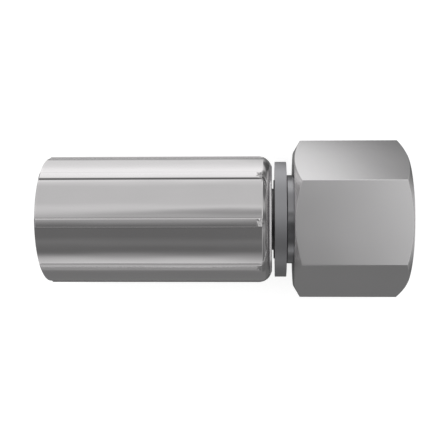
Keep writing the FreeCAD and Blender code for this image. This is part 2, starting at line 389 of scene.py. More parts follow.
@dataclass
class Outline:
    """Closed outline of a turned piece, corner by corner, with the radius that breaks each corner.

    A corner is a pair (x, r). Either may be an array over the angles round the axis, so that a hexagon or a
    pressed sleeve is one outline too. A radius of None is a plain row of points without a corner. The setback
    is at most a share of the shorter side beside a corner, and hold says how many setbacks away from it the
    point stands that keeps a side flat.
    """

    columns: int
    corners: list[np.ndarray] = field(default_factory=list)
    radii: list[float] = field(default_factory=list)
    share: float = 0.3
    hold: float = 1.5

    def add(self, x: Length, r: Length, broken: float | None) -> None:
        """Adds a corner.

        Args:
            x: Its place on the axis, in millimetres.
            r: Its distance from the axis, in millimetres.
            broken: The radius that breaks it, or None for a plain row.
        """
        pair = np.empty((self.columns, 2))
        pair[:, 0], pair[:, 1] = x, r
        self.corners.append(pair)
        self.radii.append(0.0 if broken is None else broken)

    def groove(self, middle: float, half: float, rim: Pair, floor: Pair) -> None:
        """Adds the four corners of a square groove: at middle -+ half, from the rim to the floor and back.

        Args:
            middle: Place of its middle on the axis.
            half: Half its width.
            rim: Radius at its mouth, and the radius that breaks the corners there.
            floor: The same on its floor.
        """
        for side, (radius, broken) in ((-1, rim), (-1, floor), (1, floor), (1, rim)):
            self.add(middle + side * half, radius, broken)

    def rows(self, steps: int = 4) -> tuple[np.ndarray, np.ndarray]:
        """Breaks the corners.

        A corner P is left out from A to B, which stand on its two sides at the setback. Between them runs the
        curve (1-t)^2 A + 2t(1-t) P + t^2 B. A point a little further out on each side keeps the flats flat.

        Args:
            steps: Parts of each curve.
        Returns:
            The points as (rows, columns, 2), and a number for each row: 1 on a broken corner, else 0.
        """
        corner = np.stack(self.corners)
        radius = np.array(self.radii)
        before = np.roll(corner, 1, 0) - corner
        after = np.roll(corner, -1, 0) - corner
        length_before = np.linalg.norm(before, axis=-1, keepdims=True)
        length_after = np.linalg.norm(after, axis=-1, keepdims=True)
        limit = np.minimum(length_before, length_after) * self.share
        setback = np.minimum(radius[:, None, None], limit)
        side_before = before / length_before
        side_after = after / length_after
        first, last = corner + side_before * setback, corner + side_after * setback
        t = np.linspace(0.0, 1.0, steps + 1)[None, :, None, None]
        curve = (1 - t) ** 2 * first[:, None] + 2 * t * (1 - t) * corner[:, None] + t**2 * last[:, None]
        hold_first = corner + side_before * setback * self.hold
        hold_last = corner + side_after * setback * self.hold
        block = np.concatenate([hold_first[:, None], curve, hold_last[:, None]], axis=1)
        kept = np.broadcast_to((radius > 0)[:, None], block.shape[:2]).copy()
        kept[:, 0] = True
        worn = np.zeros(block.shape[:2])
        worn[:, 1:-1] = 1.0
        worn[radius == 0] = 0.0
        return block[kept], worn[kept]


def ring_surface(
    name: str, x: np.ndarray, r: np.ndarray, around: np.ndarray, **values: np.ndarray | float
) -> bpy.types.Object:
    """Puts a grid into a mesh that closes both ways, as a ring does.

    Point (i, j) is (x_ij, r_ij sin a_j, r_ij cos a_j), where a_j is the angle of column j from straight up.

    Args:
        name: The piece's name.
        x: Places on the axis in millimetres, rows by columns.
        r: Distances from the axis in millimetres, rows by columns.
        around: Angle of each column in radians.
        values: Wear, dullness and painted shade of the points, from 0 to 1.
    Returns:
        The piece, in place.
    """
    points = np.stack([x, r * np.sin(around), r * np.cos(around)], axis=-1) * MM
    rows, columns = x.shape
    i, j = np.meshgrid(np.arange(rows), np.arange(columns), indexing="ij")
    next_i, next_j = (i + 1) % rows, (j + 1) % columns
    corners = ((i, j), (next_i, j), (next_i, next_j), (i, next_j))
    quads = np.stack([row * columns + column for row, column in corners], -1).reshape(-1, 4)
    flat = points.reshape(-1, 3)
    a, b, c, d = (flat[quads[:, k]] for k in range(4))
    volume = np.einsum("ij,ij->", a, np.cross(b, c)) + np.einsum("ij,ij->", a, np.cross(c, d))
    if volume < 0:
        quads = quads[:, ::-1]
    mesh = bpy.data.meshes.new(name)
    mesh.from_pydata(flat.tolist(), [], quads.tolist())
    for label in POINT_VALUES:
        value = np.broadcast_to(values.get(label, 0.0), x.shape).astype(np.float32)
        mesh.attributes.new(label, "FLOAT", "POINT").data.foreach_set("value", value.ravel())
    mesh.shade_smooth()
    mesh.update()
    return put_in_scene(name, mesh)


def smooth_step(value: np.ndarray, low: float, high: float) -> np.ndarray:
    """0 below low, 1 above high, and 3t^2 - 2t^3 between them."""
    t = np.clip((value - low) / (high - low), 0.0, 1.0)
    return t * t * (3.0 - 2.0 * t)


def turn_offset(angle: np.ndarray, count: int) -> np.ndarray:
    """Angle in degrees to the nearest of a number of places that stand evenly round the axis."""
    step = 360.0 / count
    return (angle + step / 2) % step - step / 2


def segment_columns(one_way: np.ndarray, count: int) -> np.ndarray:
    """Mirrors the angles of half a segment and repeats them for each segment round the axis.

    Args:
        one_way: Angles in degrees from 0 in a segment's middle to its end.
        count: Number of segments.
    Returns:
        All angles in degrees from straight up.
    """
    both = np.unique(np.concatenate([one_way, -one_way[1:-1]]))
    return (both[None, :] + 360.0 / count * np.arange(count)[:, None]).ravel()


@dataclass
class Piece:
    """What every piece of the fitting has: the body it rides on, the node it stands for and its slot."""

    body: str
    node: str
    slot: str

    def dress(self, piece: bpy.types.Object, finish: Union[SteelFinish, RubberFinish]) -> None:
        """Gives a piece its finish and ties it to the frame.

        Args:
            piece: The built piece.
            finish: The finish of its whole surface.
        """
        piece.data.materials.append(finish.material())
        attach(piece, self.body)
        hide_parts(self.node)
        LOG.info("%s: %d points, on %s, for %s", piece.name, len(piece.data.vertices), self.body, self.node)


@dataclass
class CrimpShell(Piece):
    """The pressed sleeve: eight die marks with a ridge between each two, a round shoulder and teeth inside.

    Lengths are in millimetres and turns in degrees. A list with a value for each ridge starts at the ridge on
    top and goes on towards +Y, and land_rub has a value for the segment that follows each ridge. land_end and
    round_end are how far the shoulder's end goes along the axis and towards it, with and without a land.
    Columns stand on a ridge's top and edge, past it by the angles near_columns, then evenly from far_column.
    """

    body: str = "hose_end"
    node: str = "crimp_shell"
    slot: str = "shell_steel"
    dies: int = 8
    press_depth: float = 0.3
    press_stop: float = 1.77
    press_rise: float = 0.144
    ridge_width: float = 1.67
    edge_width: float = 0.18
    ridge_columns: tuple[int, int] = (6, 7)
    near_columns: tuple[float, ...] = (0.25, 0.6, 1.5)
    far_column: float = 3.5
    far_columns: int = 5
    mouth_rows: tuple[float, ...] = (1.2, 20.0)
    back_rows: tuple[float, ...] = (12.0, 4.4)
    fine_length: float = 1.35
    fine_step: float = 0.12
    shoulder_radius: float = 2.7
    gentle_turn: float = 26.0
    gentle_rows: int = 17
    steep_turn: float = 30.0
    steep_rows: int = 12
    land_turn: float = 57.0
    full_turn: float = 78.0
    land_end: Pair = (0.34, 0.16)
    round_end: Pair = (0.04, 0.19)
    land_rub: tuple[float, ...] = (1.0, 0.0, 0.4, 0.7, 0.6, 0.4, 0.0, 1.0)
    rub_spread: float = 1.6
    mouth_edge: float = 0.25
    back_wall: float = 3.0
    bore_radius: float = 6.12
    inner_radius: float = 10.35
    teeth: int = 8
    tooth_height: float = 0.5
    tooth_width: float = 0.9
    tooth_flank: float = 0.5
    tooth_inset: float = 3.6
    tooth_pitch: float = 4.4
    dent_depth: float = 0.06
    dent_radius: float = 0.75
    dent_setback: float = 0.45
    dent_points: float = 5.0
    dent_reach: float = 0.3
    dent_turn: float = 0.6
    dent_stretch: float = 0.9
    inside_dull: float = 0.5
    inside_margin: float = 0.2
    matte_share: float = 0.7
    matte_edge: float = 0.03
    matte_margin: float = 2.0
    # Painted shade: how dark the colour is painted at the foot of the ridges, in a band on the shoulder,
    # round each ridge's end and in each hollow, with one value for each ridge where a list is given
    foot_soil: float = 0.4
    foot_width: float = 0.14
    scale_soil: float = 0.3
    shoulder_shade_edges: Pair = (1.35, 1.65)
    smudge_soil: tuple[float, ...] = (0.1, 0.66, 0.5, 0.3, 0.5, 0.4, 0.55, 0.3)
    ridge_end_comes: Pair = (-0.3, 0.0)
    ridge_end_goes: Pair = (0.45, 0.9)
    ridge_end_width: Pair = (0.1, 0.9)
    dent_soil: tuple[float, ...] = (0.42, 0.5, 0.4, 0.3, 0.4, 0.3, 0.4, 0.2)
    dent_soil_edge: float = 0.4

    def angles(self) -> np.ndarray:
        """Places the columns: close together over each ridge and its two edges.

        Returns:
            Angles in degrees from straight up.
        """
        to_degrees = 180.0 / math.pi / Extent.of(self.node).across
        half, edge = self.ridge_width / 2 * to_degrees, self.edge_width * to_degrees
        on_top, on_edge = self.ridge_columns
        top = np.linspace(0.0, half - edge / 2, on_top)
        side = np.linspace(half - edge / 2, half + edge / 2, on_edge)
        arc = half + edge / 2 + np.array(self.near_columns)
        rest = np.linspace(half + edge / 2 + self.far_column, 180.0 / self.dies, self.far_columns)
        one_way = np.unique(np.round(np.concatenate([top, side, arc, rest]), 5))
        return segment_columns(one_way, self.dies)

    def at_ridges(self, values: Sequence[float], degrees: np.ndarray, side: int = 0) -> np.ndarray:
        """The value that a list gives for the nearest ridge, or for one that stands beside it."""
        ridge = np.round(degrees / 360.0 * self.dies).astype(int)
        return np.array(values)[(ridge + side) % self.dies]

    def profile(self, columns: int, rub: np.ndarray) -> Outline:
        """Turned outline before the dies press it.

        The shoulder is part of a circle: x = start + R sin t and r = outer - R (1 - cos t). Where the sleeve
        was rubbed it stops at the land's turn and a narrow land follows. Elsewhere it runs to its full turn.

        Args:
            columns: Number of angles round the axis.
            rub: Share of the rubbed land at each of them, from 0 to 1.
        Returns:
            The outline, from the mouth over the outside to the back and through the bore to the mouth.
        """
        extent = Extent.of(self.node)
        outer, back, mouth = extent.across, extent.front, extent.back
        start, floor = back - self.shoulder_radius, back - self.back_wall
        outline = Outline(columns)
        outline.add(mouth, outer - self.mouth_edge, 0.08)
        outline.add(mouth + self.mouth_edge, outer, 0.08)
        plain = [mouth + step for step in self.mouth_rows] + [back - step for step in self.back_rows]
        for place in (*plain, *np.arange(start - self.fine_length, start, self.fine_step)):
            outline.add(place, outer, None)
        last_turn = self.full_turn + (self.land_turn - self.full_turn) * rub
        turns = [*np.linspace(0.0, self.gentle_turn, self.gentle_rows)]
        for share in np.linspace(0.0, 1.0, self.steep_rows):
            turns.append(self.steep_turn + (last_turn - self.steep_turn) * share)
        for turn in turns:
            place = start + self.shoulder_radius * np.sin(np.radians(turn))
            height = outer - self.shoulder_radius * (1.0 - np.cos(np.radians(turn)))
            outline.add(place, height, None)
        along, down = (land * rub + full * (1.0 - rub) for land, full in zip(self.land_end, self.round_end))
        outline.add(place + along, height - down, 0.03)
        outline.add(place + along, self.bore_radius, 0.05)
        outline.add(floor, self.bore_radius, 0.05)
        outline.add(floor, self.inner_radius, 0.2)
        tip = self.inner_radius - self.tooth_height
        for tooth in range(self.teeth):
            front = floor - self.tooth_inset - tooth * self.tooth_pitch
            outline.add(front, self.inner_radius, 0.08)
            outline.add(front - self.tooth_flank, tip, 0.08)
            outline.add(front - self.tooth_flank - self.tooth_width, tip, 0.08)
            outline.add(front - 2 * self.tooth_flank - self.tooth_width, self.inner_radius, 0.08)
        outline.add(mouth + self.mouth_edge, self.inner_radius, 0.06)
        outline.add(mouth, self.inner_radius + self.mouth_edge, 0.06)
        return outline

    def hollow(self, along: np.ndarray, across: np.ndarray) -> np.ndarray:
        """Depth of the star-shaped hollow, from 0 to 1.

        It falls evenly with the distance from the star's middle, and its reach is R (1 + a cos(n t + b)),
        where t is the angle round the middle.

        Args:
            along: Distances from its middle along the axis.
            across: Distances from its middle round the axis.
        Returns:
            1 in the middle, 0 outside, and the share between them.
        """
        star = 1.0 + self.dent_reach * np.cos(self.dent_points * np.arctan2(across, along) + self.dent_turn)
        distance = np.hypot(along, across * self.dent_stretch)
        return np.clip(1.0 - distance / (self.dent_radius * star), 0.0, 1.0)

    def build(self) -> bpy.types.Object:
        """Builds the sleeve.

        In a die mark the radius is the smaller of the outline's and the pressed radius, and a smooth step
        over the angle leads from the mark to the ridge. A shallow star-shaped hollow marks the place where
        each ridge runs out into the shoulder. The ridges' edges are worn, and the shoulder's end and the
        inside are dull. Painted shade darkens the foot of the ridges, the hollows and the steel round them,
        and a thin band on the shoulder.

        Returns:
            The piece.
        """
        extent = Extent.of(self.node)
        outer, back = extent.across, extent.front
        degrees = self.angles()
        arc = turn_offset(degrees, self.dies) / 180.0 * math.pi * outer
        from_ridge = np.abs(arc)[None, :]
        half, edge = self.ridge_width / 2, self.edge_width / 2
        before, after = (self.at_ridges(self.land_rub, degrees, side) for side in (-1, 0))
        spread = self.rub_spread * half
        rub = before + (after - before) * smooth_step(arc, -spread, spread)
        rows, worn = self.profile(len(degrees), rub).rows()
        x, r = rows[..., 0], rows[..., 1]

        press_end = back - self.press_stop
        in_mark = smooth_step(from_ridge, half - edge, half + edge)
        lift = smooth_step(x, press_end, press_end + self.press_rise)
        pressed = outer - self.press_depth + lift * 2 * self.press_depth
        outside = r > (outer + self.inner_radius) / 2
        r = np.where(outside, r - in_mark * np.maximum(0.0, r - pressed), r)
        hollow = self.hollow(x - (press_end - self.dent_setback), arc[None, :])
        r = np.where(outside, r - self.dent_depth * smooth_step(hollow, 0.0, 1.0), r)

        ridge_edge = np.clip(1.0 - np.abs(from_ridge - half + edge) / self.edge_width, 0.0, 1.0)
        wear = np.maximum(worn[:, None], np.where(outside & (x < press_end), ridge_edge, 0.0))
        start = back - self.shoulder_radius
        matte_from = start + self.shoulder_radius * math.sin(math.radians(self.land_turn))
        matte = smooth_step(x, matte_from - self.matte_edge, matte_from + self.matte_edge)
        matte = np.where(r > self.bore_radius + self.matte_margin, matte, 0.0)
        matte = matte * (self.matte_share + (1.0 - self.matte_share) * rub)[None, :]
        dull = np.maximum(matte, self.inside_dull * (r < self.inner_radius + self.inside_margin))

        # Painted shade: the colour is darkened at the foot of each ridge, in a band on the shoulder that
        # scale holds, round each ridge's end and in each hollow
        foot = np.clip(1.0 - np.abs(from_ridge - half - edge) / self.foot_width, 0.0, 1.0) * (x < press_end)
        scale = smooth_step(x, *(start + place for place in self.shoulder_shade_edges)) * (1.0 - matte)
        comes, goes = (smooth_step(x - press_end, *edges) for edges in (self.ridge_end_comes, self.ridge_end_goes))
        ridge_end_patch = comes * (1.0 - goes) * (1.0 - smooth_step(from_ridge - half, *self.ridge_end_width))
        soils = [
            self.foot_soil * foot,
            self.scale_soil * scale,
            self.at_ridges(self.smudge_soil, degrees) * ridge_end_patch,
            self.at_ridges(self.dent_soil, degrees) * smooth_step(hollow, 0.0, self.dent_soil_edge),
        ]
        soil = np.where(outside, np.maximum.reduce(soils), 0.0)
        wear = np.maximum(wear, matte)
        return ring_surface("pressed_sleeve", x, r, np.radians(degrees), wear=wear, dull=dull, soil=soil)


@dataclass
class Nipple(Piece):
    """The turned nipple: barbed tail, lock groove, collar disc, neck and sealing cone.

    Lengths are in millimetres. neck_lead is how far the neck reaches back into its undercut. The margins,
    feet and reach say how far from its edges the collar's dull part and the recess's painted shade begin and
    end.
    """

    body: str = "hose_end"
    node: str = "nipple"
    slot: str = "nipple_steel"
    columns: int = 168
    bore_radius: float = 4.75
    bore_chamfer: float = 0.5
    barb_root: float = 6.05
    barb_crest: float = 6.45
    nose_length: float = 2.0
    barbs: int = 8
    barb_pitch: float = 4.2
    barb_ramp: float = 2.4
    barb_land: float = 0.5
    lock_radius: float = 7.3
    lock_width: float = 2.2
    groove_radius: float = 6.1
    step_radius: float = 7.8
    step_width: float = 0.24
    undercut_width: float = 0.23
    neck_lead: float = 0.19
    collar_thickness: float = 2.26
    neck_show: float = 1.0
    neck_radius: float = 8.77
    neck_chamfer: float = 0.15
    wire_half_width: float = 0.78
    wire_floor: float = 8.09
    cone_slope: float = math.tan(math.radians(30.0))
    cone_tip_radius: float = 6.15
    seal_groove_radius: float = 6.3
    seal_half_width: float = 0.9
    edge_wear: float = 0.6
    collar_margin: float = 0.1
    collar_foot: float = 0.2
    recess_foot: float = 0.05
    recess_reach: float = 0.4
    recess_margin: float = 0.01
    # How dark the recess and the neck are painted as shade
    recess_soil: float = 0.85
    neck_soil: float = 0.25

    def build(self) -> bpy.types.Object:
        """Builds the nipple: the radius depends on the place on the axis alone.

        The collar disc is dull, and painted shade darkens the recess between it and the sleeve and, more
        thinly, the neck.

        Returns:
            The piece.
        """
        extent = Extent.of(self.node)
        shell, nut = Extent.of("crimp_shell"), Extent.of("swivel_nut")
        wire, seal = Extent.of("retaining_ring"), Extent.of("cone_o_ring")
        tail, tip, collar = extent.back, extent.front, extent.across
        shell_floor = shell.front - CrimpShell.back_wall
        lock_back = shell_floor - self.lock_width
        neck_back = nut.back - self.neck_show
        collar_front = neck_back - self.undercut_width
        collar_back = collar_front - self.collar_thickness
        outline = Outline(self.columns)
        outline.add(tail, self.bore_radius + self.bore_chamfer, 0.05)
        outline.add(tail, self.barb_root, 0.15)
        for barb in range(self.barbs):
            start = tail + self.nose_length + barb * self.barb_pitch
            outline.add(start, self.barb_root, 0.1)
            outline.add(start + self.barb_ramp, self.barb_crest, 0.08)
            outline.add(start + self.barb_ramp + self.barb_land, self.barb_crest, 0.04)
            outline.add(start + self.barb_ramp + self.barb_land, self.barb_root, 0.05)
        outline.add(lock_back, self.barb_root, 0.05)
        outline.add(lock_back, self.lock_radius, 0.05)
        outline.add(shell_floor, self.lock_radius, 0.05)
        outline.add(shell_floor, self.groove_radius, 0.04)
        step_back = collar_back - self.step_width
        outline.add(step_back, self.groove_radius, 0.03)
        outline.add(step_back, self.step_radius, 0.05)
        outline.add(collar_back, self.step_radius, 0.04)
        outline.add(collar_back, collar, 0.07)
        outline.add(collar_front, collar, 0.07)
        outline.add(collar_front, self.step_radius, 0.04)
        neck_start = neck_back - self.neck_lead
        outline.add(neck_start, self.step_radius, 0.04)
        outline.add(neck_start, self.neck_radius - self.neck_chamfer, 0.03)
        outline.add(neck_start + self.neck_chamfer, self.neck_radius, 0.05)
        middle = (wire.back + wire.front) / 2
        outline.groove(middle, self.wire_half_width, (self.neck_radius, 0.04), (self.wire_floor, 0.1))
        cone_length = (self.neck_radius - self.cone_tip_radius) / self.cone_slope
        outline.add(tip - cone_length, self.neck_radius, 0.15)
        groove = (seal.back + seal.front) / 2
        for place in (groove - self.seal_half_width, groove + self.seal_half_width):
            on_cone = self.cone_tip_radius + (tip - place) * self.cone_slope
            ends = (on_cone, self.seal_groove_radius)
            for radius in ends if place < groove else ends[::-1]:
                outline.add(place, radius, 0.05)
        outline.add(tip, self.cone_tip_radius, 0.12)
        outline.add(tip, self.bore_radius + self.bore_chamfer, 0.06)
        outline.add(tip - self.bore_chamfer, self.bore_radius, 0.1)
        outline.add(tail + self.bore_chamfer, self.bore_radius, 0.1)
        rows, worn = outline.rows()
        around = np.linspace(0.0, 2 * math.pi, self.columns, endpoint=False)
        x, r = rows[..., 0], rows[..., 1]
        margin = self.collar_margin
        on_collar = (x > collar_back - margin) & (x < collar_front + margin)
        on_collar = on_collar & (r > self.step_radius + self.collar_foot)
        # Painted shade: the recess between the sleeve and the collar is painted dark, and the neck a little
        # darker
        recess = (x > shell.front - self.recess_reach) & (x < collar_back + self.recess_margin)
        recess = recess & (r < self.step_radius + self.recess_foot)
        soil = recess * self.recess_soil + (x > neck_start) * (r > self.step_radius) * self.neck_soil
        wear = worn[:, None] * self.edge_wear
        return ring_surface("turned_nipple", x, r, around, wear=wear, dull=on_collar, soil=soil)


@dataclass
class SwivelNut(Piece):
    """The hexagon nut, with cones that take its corners off and the pipe thread at its mouth.

    Lengths are in millimetres and angles in degrees from a flat's middle. back_worn is how far its back face
    is worn short of the solid's, and thread_margins how far the thread's rows stay from the bore's ends.
    """

    body: str = "nut"
    node: str = "swivel_nut"
    slot: str = "nut_steel"
    sides: int = 6
    corner_round: float = 0.22
    face_inset: float = 0.35
    chamfer_slope: float = math.tan(math.radians(30.0))
    mouth_depth: float = 1.25
    thread_radius: float = 9.32
    thread_depth: float = 1.162
    thread_pitch: float = 1.814
    thread_height: float = 1.742
    thread_length: float = 8.85
    thread_rows_apart: float = 0.095
    thread_margins: Pair = (0.1, 0.12)
    runout_radius: float = 10.65
    bore_radius: float = 8.85
    bore_chamfer: float = 0.4
    back_wall: float = 5.68
    back_worn: float = 0.12
    groove_radius: float = 9.59
    groove_half_width: float = 0.78
    edge_wear: float = 0.45
    corner_wear: Pair = (29.2, 29.7)
    flat_end: float = 28.8
    flat_columns: int = 11
    corner_columns: tuple[float, ...] = (29.2, 29.4, 29.5, 29.6, 29.7, 29.8, 29.9, 30.0)

    def angles(self) -> np.ndarray:
        """Places the columns: close together at each corner of the hexagon.

        Returns:
            Angles in degrees from straight up.
        """
        flat = np.linspace(0.0, self.flat_end, self.flat_columns)
        return segment_columns(np.concatenate([flat, self.corner_columns]), self.sides)

    def hexagon(self, degrees: np.ndarray, flat: float) -> np.ndarray:
        """Radius of the hexagon.

        On a flat it is the flat's distance over the cosine of the angle from the flat's middle. At a corner
        it lies on a circle of the corner's round, whose centre stands on the line to the corner.

        Args:
            degrees: Angles from straight up, where the middle of a flat is.
            flat: Distance of a flat from the axis.
        Returns:
            The radius at each angle.
        """
        half = math.radians(180.0 / self.sides)
        offset = np.radians(np.abs(turn_offset(degrees, self.sides)))
        straight = flat / np.cos(offset)
        centre = (flat - self.corner_round) / math.cos(half)
        meets = math.atan2((flat - self.corner_round) * math.tan(half), flat)
        from_corner = half - offset
        reach = np.maximum(self.corner_round**2 - (centre * np.sin(from_corner)) ** 2, 0.0)
        return np.where(offset > meets, centre * np.cos(from_corner) + np.sqrt(reach), straight)

    def thread(self, x: np.ndarray, around: np.ndarray) -> np.ndarray:
        """Radius of the thread's groove.

        A triangle wave runs along the axis and moves by one pitch in a turn. Its crests and roots are rounded
        by w / (1 + w^6)^(1/6), which keeps the flanks straight.

        Args:
            x: Places on the axis.
            around: Angles of the columns in radians.
        Returns:
            The radius at each point.
        """
        phase = (x / self.thread_pitch + around[None, :] / (2 * math.pi)) % 1.0
        wave = (1.0 - 4.0 * np.abs(phase - 0.5)) * self.thread_height / self.thread_depth
        wave = wave / (1.0 + np.abs(wave) ** 6) ** (1.0 / 6.0)
        return self.thread_radius + self.thread_depth / 2 * (1.0 + wave)

    def build(self) -> bpy.types.Object:
        """Builds the nut: hexagon and cones outside, and the thread cut into the bore inside.

        A cone starts at the face's circle and meets the flats further back by the hexagon's radius less the
        circle's, times the slope. Inside, the radius is the larger of the bore's and the thread's.

        Returns:
            The piece.
        """
        extent = Extent.of(self.node)
        wire = Extent.of("retaining_ring")
        degrees = self.angles()
        around = np.radians(degrees)
        face, back = extent.front, extent.back + self.back_worn
        hexagon = self.hexagon(degrees, extent.up)
        circle = extent.up - self.face_inset
        setback = (hexagon - circle) * self.chamfer_slope
        start, mouth_radius = face - self.mouth_depth, self.thread_radius + self.mouth_depth
        thread_end = start - self.thread_length
        middle = (wire.back + wire.front) / 2
        outline = Outline(len(degrees))
        outline.add(face, mouth_radius, 0.08)
        outline.add(face, circle, 0.1)
        outline.add(face - setback, hexagon, 0.06)
        outline.add(back + setback, hexagon, 0.06)
        outline.add(back, circle, 0.1)
        outline.add(back, self.bore_radius + self.bore_chamfer, 0.06)
        outline.add(back + self.bore_chamfer, self.bore_radius, 0.06)
        outline.groove(middle, self.groove_half_width, (self.bore_radius, 0.05), (self.groove_radius, 0.08))
        front = back + self.back_wall
        outline.add(front, self.bore_radius, 0.1)
        outline.add(front + self.runout_radius - self.bore_radius, self.runout_radius, 0.2)
        ramp_end = thread_end - (self.runout_radius - self.thread_radius)
        outline.add(ramp_end, self.runout_radius, 0.1)
        at_ramp, at_face = self.thread_margins
        for place in np.arange(ramp_end + at_ramp, face - at_face, self.thread_rows_apart):
            flare = max(0.0, place - start, thread_end - place)
            outline.add(place, min(self.thread_radius + flare, self.runout_radius), None)
        rows, worn = outline.rows()
        x, r = rows[..., 0], rows[..., 1]
        inside = (r < self.runout_radius + 0.01) & (x > ramp_end)
        r = np.where(inside, np.maximum(r, np.minimum(self.thread(x, around), self.runout_radius)), r)
        at_corner = smooth_step(np.abs(turn_offset(degrees, self.sides)), *self.corner_wear)[None, :]
        wear = self.edge_wear * np.maximum(worn[:, None], np.where(r > circle, at_corner, 0.0))
        return ring_surface("hexagon_nut", x, r, around, wear=wear)


@dataclass
class ConeSeal(Piece):
    """The rubber ring on the cone."""

    body: str = "hose_end"
    node: str = "cone_o_ring"
    slot: str = "seal_rubber"
    columns: int = 120
    section_points: int = 28

    def build(self) -> bpy.types.Object:
        """Builds the ring: a circle round (x, r) = (middle, circle), carried round the axis.

        Returns:
            The piece.
        """
        extent = Extent.of(self.node)
        section = (extent.front - extent.back) / 2
        circle = extent.across - section
        turn = np.linspace(0.0, 2 * math.pi, self.section_points, endpoint=False)[:, None]
        around = np.linspace(0.0, 2 * math.pi, self.columns, endpoint=False)
        x = (extent.back + extent.front) / 2 + section * np.cos(turn) + 0.0 * around
        r = circle + section * np.sin(turn) + 0.0 * around
        return ring_surface("soft_seal", x, r, around)


# Studio and camera


@dataclass(frozen=True)
class SoftPanel:
    """A soft bright field of the studio's sky.

    Its angles are in degrees: rise is measured round the fitting's axis, from straight up towards +Y, and
    lean towards +X. The rise goes askew by a share of the lean.
    """

    strength: float
    rise: Pair
    rise_edge: float
    lean: Pair = (-90.0, 90.0)
    lean_edge: float = 20.0
    askew: float = 0.0

    def window(self, graph: Graph, angle: Signal, ends: Pair, edge: float) -> Signal:
        """1 between two ends, 0 outside them, with a smooth step over each end.

        Args:
            graph: The world's nodes.
            angle: An angle of the direction, in radians.
            ends: The two ends in degrees.
            edge: Half the width of each step in degrees.
        Returns:
            The share of the light that is let through.
        """
        low, high, edge = (math.radians(value) for value in (*ends, edge))
        return graph.ramp(angle, low - edge, low + edge) * (1.0 - graph.ramp(angle, high - edge, high + edge))

    def light(self, graph: Graph, rise: Signal, lean: Signal) -> Signal:
        """The panel's light in a direction: its strength times a window in each angle.

        Args:
            graph: The world's nodes.
            rise: The direction's angle round the axis, in radians.
            lean: Its angle towards +X, in radians.
        Returns:
            The light.
        """
        turned = rise - lean * self.askew if self.askew else rise
        in_rise = self.window(graph, turned, self.rise, self.rise_edge)
        return in_rise * self.window(graph, lean, self.lean, self.lean_edge) * self.strength


def studio_sheet(name: str, half: Pair, height: float) -> tuple[bpy.types.Object, Graph]:
    """Makes a flat sheet of the studio with an empty material.

    Args:
        name: Its name.
        half: Half its sides along X and Y, in metres.
        height: Its height in metres.
    Returns:
        The sheet and the graph of its material.
    """
    mesh = bpy.data.meshes.new(name)
    corners = [(sx * half[0], sy * half[1], height) for sx, sy in ((-1, -1), (1, -1), (1, 1), (-1, 1))]
    mesh.from_pydata(corners, [], [(0, 1, 2, 3)])
    sheet = put_in_scene(name, mesh)
    material, graph = empty_material(name)
    mesh.materials.append(material)
    return sheet, graph


